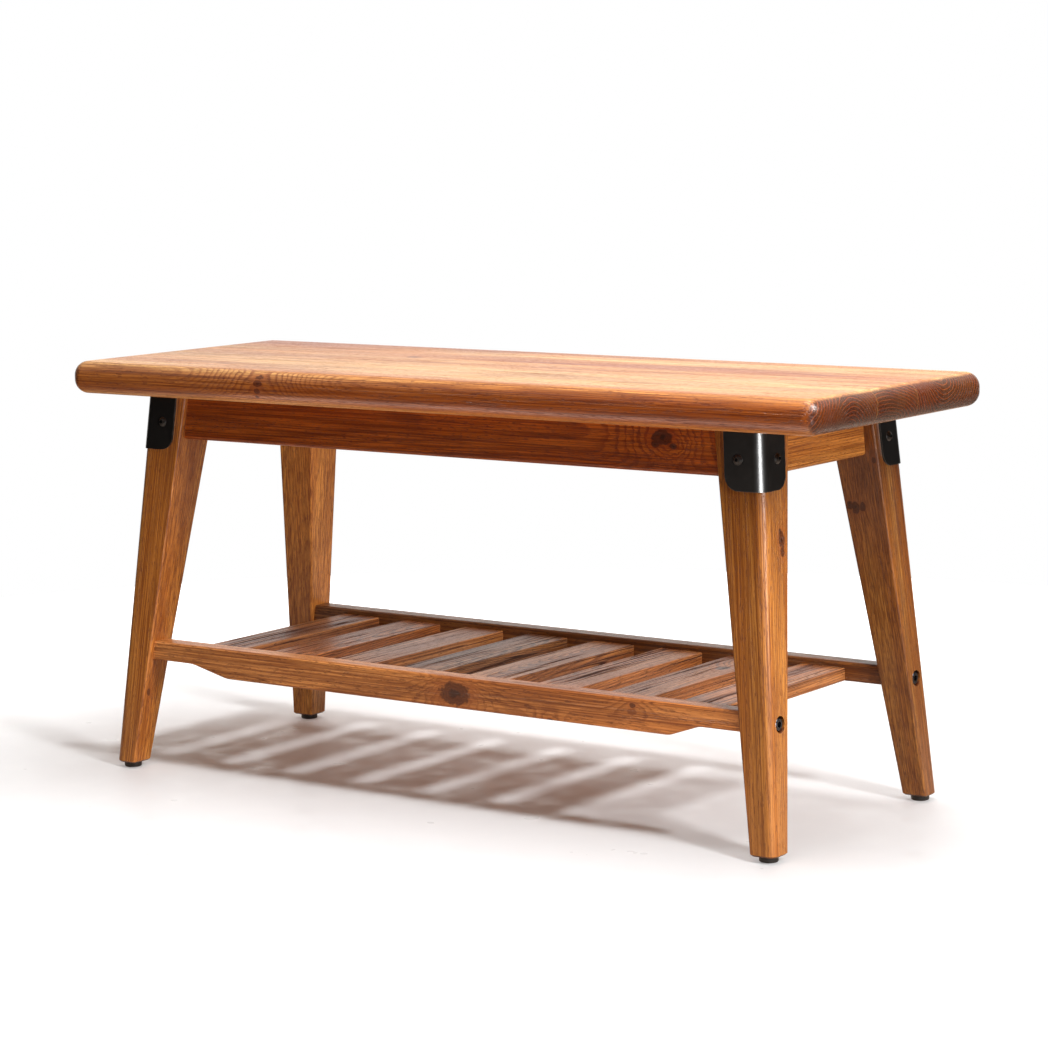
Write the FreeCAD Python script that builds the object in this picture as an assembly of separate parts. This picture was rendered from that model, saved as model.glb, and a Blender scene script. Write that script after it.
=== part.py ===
import FreeCAD, Part
import math
import os

# Entryway bench: a thick three-board seat on four splayed, tapered legs, with a slatted
# shoe shelf hung between two shaped rails. Millimetres, +Z up, length along X, front at -Y,
# origin on the floor under the middle of the seat.

V = FreeCAD.Vector
MARGIN = 1.0               # how far a cutting tool runs past the face it opens
NEAR = 0.1                 # tolerance when edges are picked by their bounds

# ---- overall ----
SEAT_L = 940.0
SEAT_W = 350.0
SEAT_T = 35.5
SEAT_TOP = 450.0
SEAT_BOTTOM = SEAT_TOP - SEAT_T
SEAT_EDGE_R = 15.5         # round-over along the top and bottom edges
SEAT_CORNER_R = 16.5       # corner radius seen from above
SEAT_JOINT_FRONT = -54.5   # glue line between the front and middle boards
SEAT_JOINT_BACK = 28.0     # glue line between the middle and back boards

# ---- legs ----
LEG_BOTTOM = 6.0
LEG_FOOT_X = 422.0         # outer corner at the foot
LEG_FOOT_Y = 170.0
LEG_HEAD_X = 388.0         # outer corner under the seat
LEG_HEAD_Y = 136.0
LEG_FOOT_SIZE = 27.5       # square section at the foot
LEG_HEAD_SIZE = 53.0       # square section under the seat
LEG_OUTER_R = 9.0
LEG_ARRIS_R = 2.5
LEG_FOOT_EASE = 1.6        # small bevel round the end of the foot

# ---- aprons ----
APRON_T = 22.0
APRON_BOTTOM = 366.5
APRON_LONG_FACE = 132.0    # outer face of the long aprons, in Y
APRON_SHORT_FACE = 378.0   # outer face of the short aprons, in X
APRON_EDGE_R = 4.0
APRON_ARRIS_R = 1.0
APRON_TENON_T = 8.0
APRON_TENON_LEN = 22.0
APRON_TENON_LOW = 374.0
APRON_TENON_HIGH = 404.0

# ---- corner brackets and their bolts ----
BRACKET_T = 2.0
BRACKET_FLANGE = 41.0      # width of each flange from the leg corner
BRACKET_BOTTOM = 355.0
BRACKET_ROUND = 16.0
BOLT_Z = 385.0
BOLT_FROM_CORNER = 25.5
BOLT_D = 6.0
BOLT_HOLE_D = 6.6
BOLT_GRIP = 14.0           # under-head length
BUTTON_HEAD_D = 10.5
BUTTON_HEAD_H = 3.3
BUTTON_HEAD_RIM = 0.5
BUTTON_SOCKET = 4.0        # hexagon across flats
BUTTON_SOCKET_DEPTH = 2.1
INSERT_D = 9.0
INSERT_LEN = 11.0
INSERT_SETBACK = 0.5

# ---- shelf rails ----
RAIL_Y = 141.5             # middle of each rail
RAIL_T = 23.0
RAIL_TOP = 143.0
RAIL_BOTTOM = 110.5
RAIL_END_BOTTOM = 122.5    # underside of the thinner ends
RAIL_LEFT_RAMP = (-321.5, -273.0)
RAIL_RIGHT_RAMP = (293.0, 327.5)
RAIL_RAMP_R = 22.0
RAIL_LONG_RAMP_R = 44.0    # softer rounding at the longer, left-hand ramp
RAIL_TOP_R = 3.0
RAIL_LOW_R = 1.5

# ---- shelf slats ----
SLAT_COUNT = 8
SLAT_PITCH = 87.6
SLAT_W = 53.0
SLAT_T = 14.0
SLAT_TOP = 136.5
SLAT_ARRIS_R = 1.5
SLAT_TENON_W = 38.0
SLAT_TENON_T = 6.0
SLAT_TENON_LEN = 7.0

# ---- rail bolts ----
RAIL_BOLT_Z = 131.5
RAIL_BOLT_Y = 140.0
RAIL_BOLT_D = 8.0
RAIL_BOLT_HEAD_D = 13.0
RAIL_BOLT_HEAD_H = 8.0
RAIL_BOLT_HEAD_EASE = 1.2
RAIL_BOLT_SOCKET = 6.0     # hexagon across flats
RAIL_BOLT_SOCKET_DEPTH = 4.0
RAIL_BOLT_GRIP = 60.0
RAIL_BOLT_SEAT_X = 402.6   # plane the head pulls down on, inside the leg
COUNTERBORE_D = 17.0
COUNTERBORE_LEN = 20.0
BARREL_D = 12.0            # cross nut let into the underside of the rail's end
BARREL_LEN = 17.0
BARREL_X = 352.0
BARREL_SLOT_W = 1.6
BARREL_SLOT_DEPTH = 1.5

# ---- foot glides ----
GLIDE_D = 19.0
GLIDE_EDGE_R = 1.5
GLIDE_RECESS_D = 9.0
GLIDE_RECESS_H = 2.5
NAIL_D = 2.6
NAIL_HEAD_D = 7.0
NAIL_HEAD_H = 1.2
NAIL_TIP_H = 3.0
NAIL_TOP = 24.0

# ---- seat fixing buttons (wooden blocks whose tongues sit in slots in the aprons) ----
FIX_W = 24.0
FIX_REACH = 26.0
FIX_LOW = 398.5
FIX_TONGUE_H = 5.0
FIX_TONGUE_LEN = 6.0
FIX_SLOT_W = 30.0
FIX_SLOT_CLEAR = 0.6
FIX_SCREW_REACH = 15.0     # screw axis from the apron's inner face
FIX_LONG_X = (-220.0, 0.0, 220.0)
SCREW_D = 4.0
SCREW_HEAD_D = 8.0
SCREW_HEAD_H = 2.6
SCREW_LEN = 32.0
SCREW_TIP_H = 4.0
SCREW_CROSS_W = 0.9
SCREW_CROSS_L = 4.4
SCREW_CROSS_DEPTH = 1.4

CORNERS = (("front_left", -1, -1), ("front_right", 1, -1), ("back_left", -1, 1), ("back_right", 1, 1))

os.makedirs("parts", exist_ok=True)


def save(name, shape):
    shape.exportStep("parts/" + name + ".step")
    print(name, len(shape.Solids), shape.isValid(), round(shape.Volume, 1))


def box(x0, x1, y0, y1, z0, z1):
    return Part.makeBox(x1 - x0, y1 - y0, z1 - z0, V(x0, y0, z0))


def cylinder(radius, start, direction, length):
    return Part.makeCylinder(radius, length, start, direction)


def corner_points(p, previous, following, radius):
    """Start, middle and end of the arc that rounds the corner p."""
    to_previous = (previous - p).normalize()
    to_following = (following - p).normalize()
    half = to_previous.getAngle(to_following) / 2
    setback = radius / math.tan(half)
    centre = p + (to_previous + to_following).normalize() * (radius / math.sin(half))
    middle = centre + (p - centre).normalize() * radius
    return p + to_previous * setback, middle, p + to_following * setback


def rounded_wire(points, radii):
    """Closed wire through the points, each corner rounded by its own radius (0 = sharp)."""
    count = len(points)
    marks = []
    for i in range(count):
        if radii[i] > 0:
            marks.append(corner_points(points[i], points[i - 1], points[(i + 1) % count], radii[i]))
        else:
            marks.append((points[i], None, points[i]))
    edges = []
    for i in range(count):
        start, middle, end = marks[i]
        if middle is not None:
            edges.append(Part.Arc(start, middle, end).toShape())
        edges.append(Part.makeLine(end, marks[(i + 1) % count][0]))
    return Part.Wire(edges)


def mirrored(shape, sx, sy):
    """Copy of a front-right piece (x > 0, y < 0) in another quarter of the bench."""
    result = shape
    if sx < 0:
        result = result.mirror(V(0, 0, 0), V(1, 0, 0))
    if sy > 0:
        result = result.mirror(V(0, 0, 0), V(0, 1, 0))
    return result


# ---- leg geometry, written for the front-right leg ----
def leg_blend(z):
    return (z - LEG_BOTTOM) / (SEAT_BOTTOM - LEG_BOTTOM)


def leg_corner(z):
    t = leg_blend(z)
    x = LEG_FOOT_X + (LEG_HEAD_X - LEG_FOOT_X) * t
    y = LEG_FOOT_Y + (LEG_HEAD_Y - LEG_FOOT_Y) * t
    return x, -y


def leg_size(z):
    return LEG_FOOT_SIZE + (LEG_HEAD_SIZE - LEG_FOOT_SIZE) * leg_blend(z)


def leg_wire(z, inset):
    x, y = leg_corner(z)
    size = leg_size(z)
    points = [
        V(x - inset, y + inset, z),
        V(x - inset, y + size - inset, z),
        V(x - size + inset, y + size - inset, z),
        V(x - size + inset, y + inset, z),
    ]
    return rounded_wire(points, [LEG_OUTER_R - inset, LEG_ARRIS_R, LEG_ARRIS_R, LEG_ARRIS_R])


def leg_body():
    foot = LEG_BOTTOM + LEG_FOOT_EASE
    lower = Part.makeLoft([leg_wire(LEG_BOTTOM, LEG_FOOT_EASE), leg_wire(foot, 0)], True, True)
    upper = Part.makeLoft([leg_wire(foot, 0), leg_wire(SEAT_BOTTOM, 0)], True, True)
    return lower.fuse(upper)


LEG_SLOPE = (LEG_FOOT_X - LEG_HEAD_X) / (SEAT_BOTTOM - LEG_BOTTOM)
SIDE_NORMAL = V(1, 0, LEG_SLOPE).normalize()
FRONT_NORMAL = V(0, -1, LEG_SLOPE).normalize()


def bolt_points():
    """Where the two bracket bolts meet the outer faces of the front-right leg."""
    x, y = leg_corner(BOLT_Z)
    front = V(x - BOLT_FROM_CORNER, y, BOLT_Z)
    side = V(x, y + BOLT_FROM_CORNER, BOLT_Z)
    return (front, FRONT_NORMAL), (side, SIDE_NORMAL)


# ---- corner bracket ----
def bracket_wire(z):
    x, y = leg_corner(z)
    t = BRACKET_T
    f = BRACKET_FLANGE
    points = [
        V(x - f, y, z),
        V(x - f, y - t, z),
        V(x + t, y - t, z),
        V(x + t, y + f, z),
        V(x, y + f, z),
        V(x, y, z),
    ]
    return rounded_wire(points, [0, 0, LEG_OUTER_R + t, 0, 0, LEG_OUTER_R])


def bracket():
    body = Part.makeLoft([bracket_wire(BRACKET_BOTTOM), bracket_wire(SEAT_BOTTOM)], True, True)
    radius = BRACKET_ROUND * math.sqrt(1 + LEG_SLOPE * LEG_SLOPE)
    zc = BRACKET_BOTTOM + BRACKET_ROUND
    x, y = leg_corner(zc)
    reach = 3 * BRACKET_T
    xc = x - BRACKET_FLANGE + radius
    front = box(xc - 2 * radius, xc, y - reach, y + reach, BRACKET_BOTTOM - MARGIN, zc)
    front = front.cut(cylinder(radius, V(xc, y - 2 * reach, zc), V(0, 1, 0), 4 * reach))
    yc = y + BRACKET_FLANGE - radius
    side = box(x - reach, x + reach, yc, yc + 2 * radius, BRACKET_BOTTOM - MARGIN, zc)
    side = side.cut(cylinder(radius, V(x - 2 * reach, yc, zc), V(1, 0, 0), 4 * reach))
    body = body.cut(front).cut(side)
    for point, normal in bolt_points():
        body = body.cut(cylinder(BOLT_HOLE_D / 2, point - normal * reach, normal, 2 * reach))
    return body


# ---- fasteners, built along +Z with the seat of the head at z = 0 ----
def hexagon(across_flats, z0, depth):
    radius = across_flats / math.sqrt(3)
    points = []
    for i in range(7):
        angle = math.radians(60 * i)
        points.append(V(radius * math.cos(angle), radius * math.sin(angle), z0))
    return Part.Face(Part.makePolygon(points)).extrude(V(0, 0, depth))


def dome_head(diameter, height, rim):
    """Button head: a short straight rim below a spherical dome."""
    radius = diameter / 2
    rise = height - rim
    ball = (radius * radius + rise * rise) / (2 * rise)
    blank = Part.makeCylinder(radius, height)
    return blank.common(Part.makeSphere(ball, V(0, 0, height - ball)))


def button_bolt():
    head = dome_head(BUTTON_HEAD_D, BUTTON_HEAD_H, BUTTON_HEAD_RIM)
    shank = cylinder(BOLT_D / 2, V(0, 0, -BOLT_GRIP), V(0, 0, 1), BOLT_GRIP)
    floor = BUTTON_HEAD_H - BUTTON_SOCKET_DEPTH
    return head.fuse(shank).cut(hexagon(BUTTON_SOCKET, floor, BUTTON_SOCKET_DEPTH + MARGIN))


def cap_bolt():
    head = Part.makeCylinder(RAIL_BOLT_HEAD_D / 2, RAIL_BOLT_HEAD_H)
    rim = [e for e in head.Edges if e.BoundBox.ZMin > RAIL_BOLT_HEAD_H - NEAR and len(e.Vertexes) == 1]
    head = head.makeFillet(RAIL_BOLT_HEAD_EASE, rim)
    shank = cylinder(RAIL_BOLT_D / 2, V(0, 0, -RAIL_BOLT_GRIP), V(0, 0, 1), RAIL_BOLT_GRIP)
    floor = RAIL_BOLT_HEAD_H - RAIL_BOLT_SOCKET_DEPTH
    return head.fuse(shank).cut(hexagon(RAIL_BOLT_SOCKET, floor, RAIL_BOLT_SOCKET_DEPTH + MARGIN))


def wood_screw():
    """Countersunk screw pointing up +Z, head face at z = 0."""
    head = Part.makeCone(SCREW_HEAD_D / 2, SCREW_D / 2, SCREW_HEAD_H)
    shank = Part.makeCylinder(SCREW_D / 2, SCREW_LEN - SCREW_TIP_H)
    tip = Part.makeCone(SCREW_D / 2, 0, SCREW_TIP_H, V(0, 0, SCREW_LEN - SCREW_TIP_H))
    screw = head.fuse([shank, tip])
    half_w = SCREW_CROSS_W / 2
    half_l = SCREW_CROSS_L / 2
    cross = box(-half_w, half_w, -half_l, half_l, -MARGIN, SCREW_CROSS_DEPTH)
    cross = cross.fuse(box(-half_l, half_l, -half_w, half_w, -MARGIN, SCREW_CROSS_DEPTH))
    return screw.cut(cross)


def aligned(shape, origin, direction):
    moved = shape.copy()
    moved.Placement = FreeCAD.Placement(origin, FreeCAD.Rotation(V(0, 0, 1), direction))
    return moved


# ---- seat: three boards glued edge to edge ----
def seat_slab():
    half_l = SEAT_L / 2
    half_w = SEAT_W / 2
    slab = box(-half_l, half_l, -half_w, half_w, SEAT_BOTTOM, SEAT_TOP)
    upright = [e for e in slab.Edges if e.BoundBox.ZLength > SEAT_T - NEAR]
    slab = slab.makeFillet(SEAT_CORNER_R, upright)
    rims = [e for e in slab.Edges if e.BoundBox.ZLength < NEAR]
    return slab.makeFillet(SEAT_EDGE_R, rims)


def button_frames():
    """Origin on the apron's inner face under the seat, and the inward direction."""
    long_inner = APRON_LONG_FACE - APRON_T
    short_inner = APRON_SHORT_FACE - APRON_T
    frames = []
    for x in FIX_LONG_X:
        frames.append((V(x, -long_inner, 0), V(0, 1, 0)))
        frames.append((V(x, long_inner, 0), V(0, -1, 0)))
    frames.append((V(-short_inner, 0, 0), V(1, 0, 0)))
    frames.append((V(short_inner, 0, 0), V(-1, 0, 0)))
    return frames


def inward_box(origin, inward, near, far, half_width, z0, z1):
    across = V(0, 0, 1).cross(inward)
    a = origin + inward * near - across * half_width
    b = origin + inward * far + across * half_width
    return box(min(a.x, b.x), max(a.x, b.x), min(a.y, b.y), max(a.y, b.y), z0, z1)


slab = seat_slab()
half_w = SEAT_W / 2 + MARGIN
half_l = SEAT_L / 2 + MARGIN
screw_shapes = []
button_shapes = []
slots = []
for origin, inward in button_frames():
    block = inward_box(origin, inward, 0, FIX_REACH, FIX_W / 2, FIX_LOW, SEAT_BOTTOM)
    tongue_top = FIX_LOW + FIX_TONGUE_H
    tongue = inward_box(origin, inward, -FIX_TONGUE_LEN, 0, FIX_W / 2, FIX_LOW, tongue_top)
    slot_low = FIX_LOW - FIX_SLOT_CLEAR
    slot_end = -FIX_TONGUE_LEN - MARGIN
    slots.append(inward_box(origin, inward, slot_end, 0, FIX_SLOT_W / 2, slot_low, tongue_top))
    screw = wood_screw()
    screw.translate(origin + inward * FIX_SCREW_REACH + V(0, 0, FIX_LOW))
    screw_shapes.append(screw)
    hole = Part.makeCylinder(SCREW_D / 2, SCREW_LEN + MARGIN, screw.Placement.Base)
    countersink = Part.makeCone(SCREW_HEAD_D / 2, SCREW_D / 2, SCREW_HEAD_H, screw.Placement.Base)
    button_shapes.append(block.fuse(tongue).cut(hole).cut(countersink))
    slab = slab.cut(hole)

joints = (-half_w, SEAT_JOINT_FRONT, SEAT_JOINT_BACK, half_w)
for i, board in enumerate(("front", "middle", "back")):
    strip = box(-half_l, half_l, joints[i], joints[i + 1], SEAT_BOTTOM - MARGIN, SEAT_TOP + MARGIN)
    save("seat_board_" + board, slab.common(strip))
save("seat_buttons", Part.Compound(button_shapes))
save("seat_button_screws", Part.Compound(screw_shapes))

# ---- legs, aprons ----
leg = leg_body()
leg_blanks = [mirrored(leg, sx, sy) for corner, sx, sy in CORNERS]
leg_block = Part.Compound(leg_blanks)


def bar_wire_yz(x, y0, y1, z0, z1, low_r):
    """Section of a bar running along X; the outer lower edge (y0) takes low_r."""
    points = [V(x, y0, z0), V(x, y1, z0), V(x, y1, z1), V(x, y0, z1)]
    return rounded_wire(points, [low_r, APRON_ARRIS_R, 0, 0])


def apron_blank(length, face):
    """Apron lying along X with its outer face towards -Y."""
    wire = bar_wire_yz(-length / 2, -face, APRON_T - face, APRON_BOTTOM, SEAT_BOTTOM, APRON_EDGE_R)
    return Part.Face(wire).extrude(V(length, 0, 0))


def middle_solid(shape):
    """The largest solid left after the ends have been trimmed."""
    return max(shape.Solids, key=lambda s: s.Volume)


def apron_tenons(inner_x, face):
    """Tenons for an apron lying along X: both ends, reaching into the legs."""
    middle = APRON_T / 2 - face
    tenons = []
    for s in (-1, 1):
        a = s * (inner_x - APRON_T)
        b = s * (inner_x + APRON_TENON_LEN)
        y0 = middle - APRON_TENON_T / 2
        tenons.append(box(min(a, b), max(a, b), y0, y0 + APRON_TENON_T, APRON_TENON_LOW, APRON_TENON_HIGH))
    return tenons


head_x, head_y = leg_corner(BOLT_Z)
long_inner = head_x - leg_size(BOLT_Z)
short_inner = -head_y - leg_size(BOLT_Z)

long_blank = apron_blank(2 * head_x - 2 * LEG_OUTER_R, APRON_LONG_FACE)
long_tenons = apron_tenons(long_inner, APRON_LONG_FACE)
short_blank = apron_blank(-2 * head_y - 2 * LEG_OUTER_R, APRON_SHORT_FACE)
short_tenons = apron_tenons(short_inner, APRON_SHORT_FACE)
Z_AXIS = V(0, 0, 1)
ORIGIN = V(0, 0, 0)

apron_turns = (
    ("apron_front", long_blank, long_tenons, 0),
    ("apron_back", long_blank, long_tenons, 180),
    ("apron_right", short_blank, short_tenons, 90),
    ("apron_left", short_blank, short_tenons, 270),
)
tenon_cutters = []
for name, blank, tenons, turn in apron_turns:
    body = blank.copy()
    body.rotate(ORIGIN, Z_AXIS, turn)
    body = middle_solid(body.cut(leg_block))
    for tenon in tenons:
        tongue = tenon.copy()
        tongue.rotate(ORIGIN, Z_AXIS, turn)
        tenon_cutters.append(tongue)
        body = body.fuse(tongue)
    for slot in slots:
        body = body.cut(slot)
    save(name, body.removeSplitter())

# ---- shelf rails ----
def rail_outline(y):
    left_low, left_high = RAIL_LEFT_RAMP
    right_high, right_low = RAIL_RIGHT_RAMP
    end = LEG_FOOT_X
    points = [
        V(-end, y, RAIL_TOP),
        V(-end, y, RAIL_END_BOTTOM),
        V(left_low, y, RAIL_END_BOTTOM),
        V(left_high, y, RAIL_BOTTOM),
        V(right_high, y, RAIL_BOTTOM),
        V(right_low, y, RAIL_END_BOTTOM),
        V(end, y, RAIL_END_BOTTOM),
        V(end, y, RAIL_TOP),
    ]
    left_r = RAIL_LONG_RAMP_R
    right_r = RAIL_RAMP_R
    return rounded_wire(points, [0, 0, left_r, left_r, right_r, right_r, 0, 0])


def lengthwise_edges(body, z0, z1):
    """Edges along X, straight or curved, that lie between the two heights."""
    found = []
    for edge in body.Edges:
        bounds = edge.BoundBox
        along_x = bounds.YLength < NEAR and bounds.XLength > 1
        if along_x and bounds.ZMin > z0 and bounds.ZMax < z1:
            found.append(edge)
    return found


def rail_blank(middle_y):
    y0 = middle_y - RAIL_T / 2
    body = Part.Face(rail_outline(y0)).extrude(V(0, RAIL_T, 0))
    body = body.makeFillet(RAIL_TOP_R, lengthwise_edges(body, RAIL_TOP - NEAR, RAIL_TOP + NEAR))
    lower = lengthwise_edges(body, RAIL_BOTTOM - NEAR, RAIL_END_BOTTOM + NEAR)
    return body.makeFillet(RAIL_LOW_R, lower)


def rail_bolt_parts(sx, y):
    seat = V(sx * RAIL_BOLT_SEAT_X, y, RAIL_BOLT_Z)
    outward = V(sx, 0, 0)
    bolt = aligned(cap_bolt(), seat, outward)
    hole_len = RAIL_BOLT_GRIP + MARGIN
    hole = cylinder(RAIL_BOLT_D / 2, seat - outward * hole_len, outward, hole_len)
    pocket = cylinder(COUNTERBORE_D / 2, seat, outward, COUNTERBORE_LEN)
    low = RAIL_BOLT_Z - BARREL_LEN / 2
    up = V(0, 0, 1)
    room_low = RAIL_END_BOTTOM - MARGIN
    room = cylinder(BARREL_D / 2, V(sx * BARREL_X, y, room_low), up, low + BARREL_LEN - room_low)
    nut = cylinder(BARREL_D / 2, V(sx * BARREL_X, y, low), up, BARREL_LEN).cut(hole)
    half_slot = BARREL_SLOT_W / 2
    x0 = sx * BARREL_X - BARREL_D
    y0 = y - half_slot
    slot_top = low + BARREL_SLOT_DEPTH
    nut = nut.cut(box(x0, x0 + 2 * BARREL_D, y0, y + half_slot, low - MARGIN, slot_top))
    return bolt, hole, pocket, room, nut


rail_bolts = []
rail_holes = []
rail_pockets = []
barrel_rooms = []
barrel_nuts = []
for sx in (-1, 1):
    for sy in (-1, 1):
        bolt, hole, pocket, nut_room, nut = rail_bolt_parts(sx, sy * RAIL_BOLT_Y)
        rail_bolts.append(bolt)
        rail_holes.append(hole)
        rail_pockets.append(pocket)
        barrel_rooms.append(nut_room)
        barrel_nuts.append(nut)
save("rail_bolts", Part.Compound(rail_bolts))
save("rail_barrel_nuts", Part.Compound(barrel_nuts))

# ---- slats ----
rail_inner = RAIL_Y - RAIL_T / 2
slat_tenon_cutters = []
for i in range(SLAT_COUNT):
    x = (i - (SLAT_COUNT - 1) / 2) * SLAT_PITCH
    x0 = x - SLAT_W / 2
    z0 = SLAT_TOP - SLAT_T
    points = [
        V(x0, -rail_inner, z0),
        V(x0 + SLAT_W, -rail_inner, z0),
        V(x0 + SLAT_W, -rail_inner, SLAT_TOP),
        V(x0, -rail_inner, SLAT_TOP),
    ]
    board = Part.Face(rounded_wire(points, [SLAT_ARRIS_R] * 4)).extrude(V(0, 2 * rail_inner, 0))
    reach = rail_inner + SLAT_TENON_LEN
    tenon_low = z0 + (SLAT_T - SLAT_TENON_T) / 2
    half_tenon = SLAT_TENON_W / 2
    tenon = box(x - half_tenon, x + half_tenon, -reach, reach, tenon_low, tenon_low + SLAT_TENON_T)
    slat_tenon_cutters.append(tenon)
    save("slat_" + str(i + 1), board.fuse(tenon).removeSplitter())

for name, side in (("rail_front", -1), ("rail_back", 1)):
    body = middle_solid(rail_blank(side * RAIL_Y).cut(leg_block))
    for tool in slat_tenon_cutters + rail_holes + barrel_rooms:
        body = body.cut(tool)
    save(name, body)

# ---- legs with their joinery, brackets, bolts, inserts, glides ----
bolt_shapes = []
insert_shapes = []
nail_shapes = []
bolt_blank = button_bolt()
foot_x, foot_y = leg_corner(LEG_BOTTOM)
glide_x = foot_x - LEG_FOOT_SIZE / 2
glide_y = foot_y + LEG_FOOT_SIZE / 2
glide_body = Part.makeCylinder(GLIDE_D / 2, LEG_BOTTOM)
glide_rims = [e for e in glide_body.Edges if e.BoundBox.ZMax < 0.01 and len(e.Vertexes) == 1]
glide_body = glide_body.makeFillet(GLIDE_EDGE_R, glide_rims)
glide_body = glide_body.cut(Part.makeCylinder(GLIDE_RECESS_D / 2, GLIDE_RECESS_H))
glide_body = glide_body.cut(Part.makeCylinder(NAIL_D / 2, LEG_BOTTOM))
nail_body = Part.makeCylinder(NAIL_HEAD_D / 2, NAIL_HEAD_H, V(0, 0, GLIDE_RECESS_H - NAIL_HEAD_H))
nail_shank = Part.makeCylinder(NAIL_D / 2, NAIL_TOP - NAIL_TIP_H - GLIDE_RECESS_H, V(0, 0, GLIDE_RECESS_H))
nail_tip = Part.makeCone(NAIL_D / 2, 0, NAIL_TIP_H, V(0, 0, NAIL_TOP - NAIL_TIP_H))
nail_body = nail_body.fuse([nail_shank, nail_tip])
corner_bracket = bracket()

for (corner, sx, sy), blank in zip(CORNERS, leg_blanks):
    cutters = []
    for point, normal in bolt_points():
        seat = point + normal * BRACKET_T
        bolt_shapes.append(mirrored(aligned(bolt_blank, seat, normal), sx, sy))
        top = point - normal * INSERT_SETBACK
        sleeve = cylinder(INSERT_D / 2, top, normal * -1, INSERT_LEN)
        bore = cylinder(BOLT_D / 2, seat, normal * -1, BOLT_GRIP)
        insert_shapes.append(mirrored(sleeve.cut(bore), sx, sy))
        insert_hole = cylinder(INSERT_D / 2, point, normal * -1, INSERT_LEN + INSERT_SETBACK)
        cutters.append(mirrored(insert_hole, sx, sy))
        cutters.append(mirrored(bore, sx, sy))
    glide_move = V(sx * glide_x, -sy * glide_y, 0)
    glide = glide_body.copy()
    glide.translate(glide_move)
    nail = nail_body.copy()
    nail.translate(glide_move)
    nail_shapes.append(nail)
    cutters.append(nail)
    body = blank
    for tool in cutters + tenon_cutters + rail_holes + rail_pockets:
        if tool.BoundBox.intersect(blank.BoundBox):
            body = body.cut(tool)
    save("leg_" + corner, middle_solid(body))
    save("bracket_" + corner, mirrored(corner_bracket, sx, sy))
    save("foot_glide_" + corner, glide)

save("bracket_bolts", Part.Compound(bolt_shapes))
save("bracket_inserts", Part.Compound(insert_shapes))
save("glide_nails", Part.Compound(nail_shapes))
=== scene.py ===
"""Entryway bench: looks, stage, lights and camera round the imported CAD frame.

Metres, +Z up, +X the bench's long side, -Y its front. Every wood member is cut from its own solid
pattern of growth rings in frame coordinates, so its faces and its end grain agree.
"""

import math

import bpy
from mathutils import Matrix, Vector


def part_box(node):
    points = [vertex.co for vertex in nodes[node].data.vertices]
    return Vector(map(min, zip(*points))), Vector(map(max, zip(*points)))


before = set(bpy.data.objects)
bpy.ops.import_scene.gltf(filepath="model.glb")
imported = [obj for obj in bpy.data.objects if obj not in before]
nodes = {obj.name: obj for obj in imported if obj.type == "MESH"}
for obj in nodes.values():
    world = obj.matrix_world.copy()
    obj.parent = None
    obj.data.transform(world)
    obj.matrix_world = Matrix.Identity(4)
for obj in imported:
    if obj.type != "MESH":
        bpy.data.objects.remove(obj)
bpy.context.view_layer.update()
scene = bpy.context.scene
scene.view_settings.view_transform = "Standard"

MM = 0.001
WHITE = (1.0, 1.0, 1.0)


def scaled(triple, by):
    """A colour or a point times by, which is one number or one for each of its three."""
    factors = by if isinstance(by, tuple) else (by,) * 3
    return tuple(value * factor for value, factor in zip(triple, factors))


# ---------------------------------------------------------------- shader helpers


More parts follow.
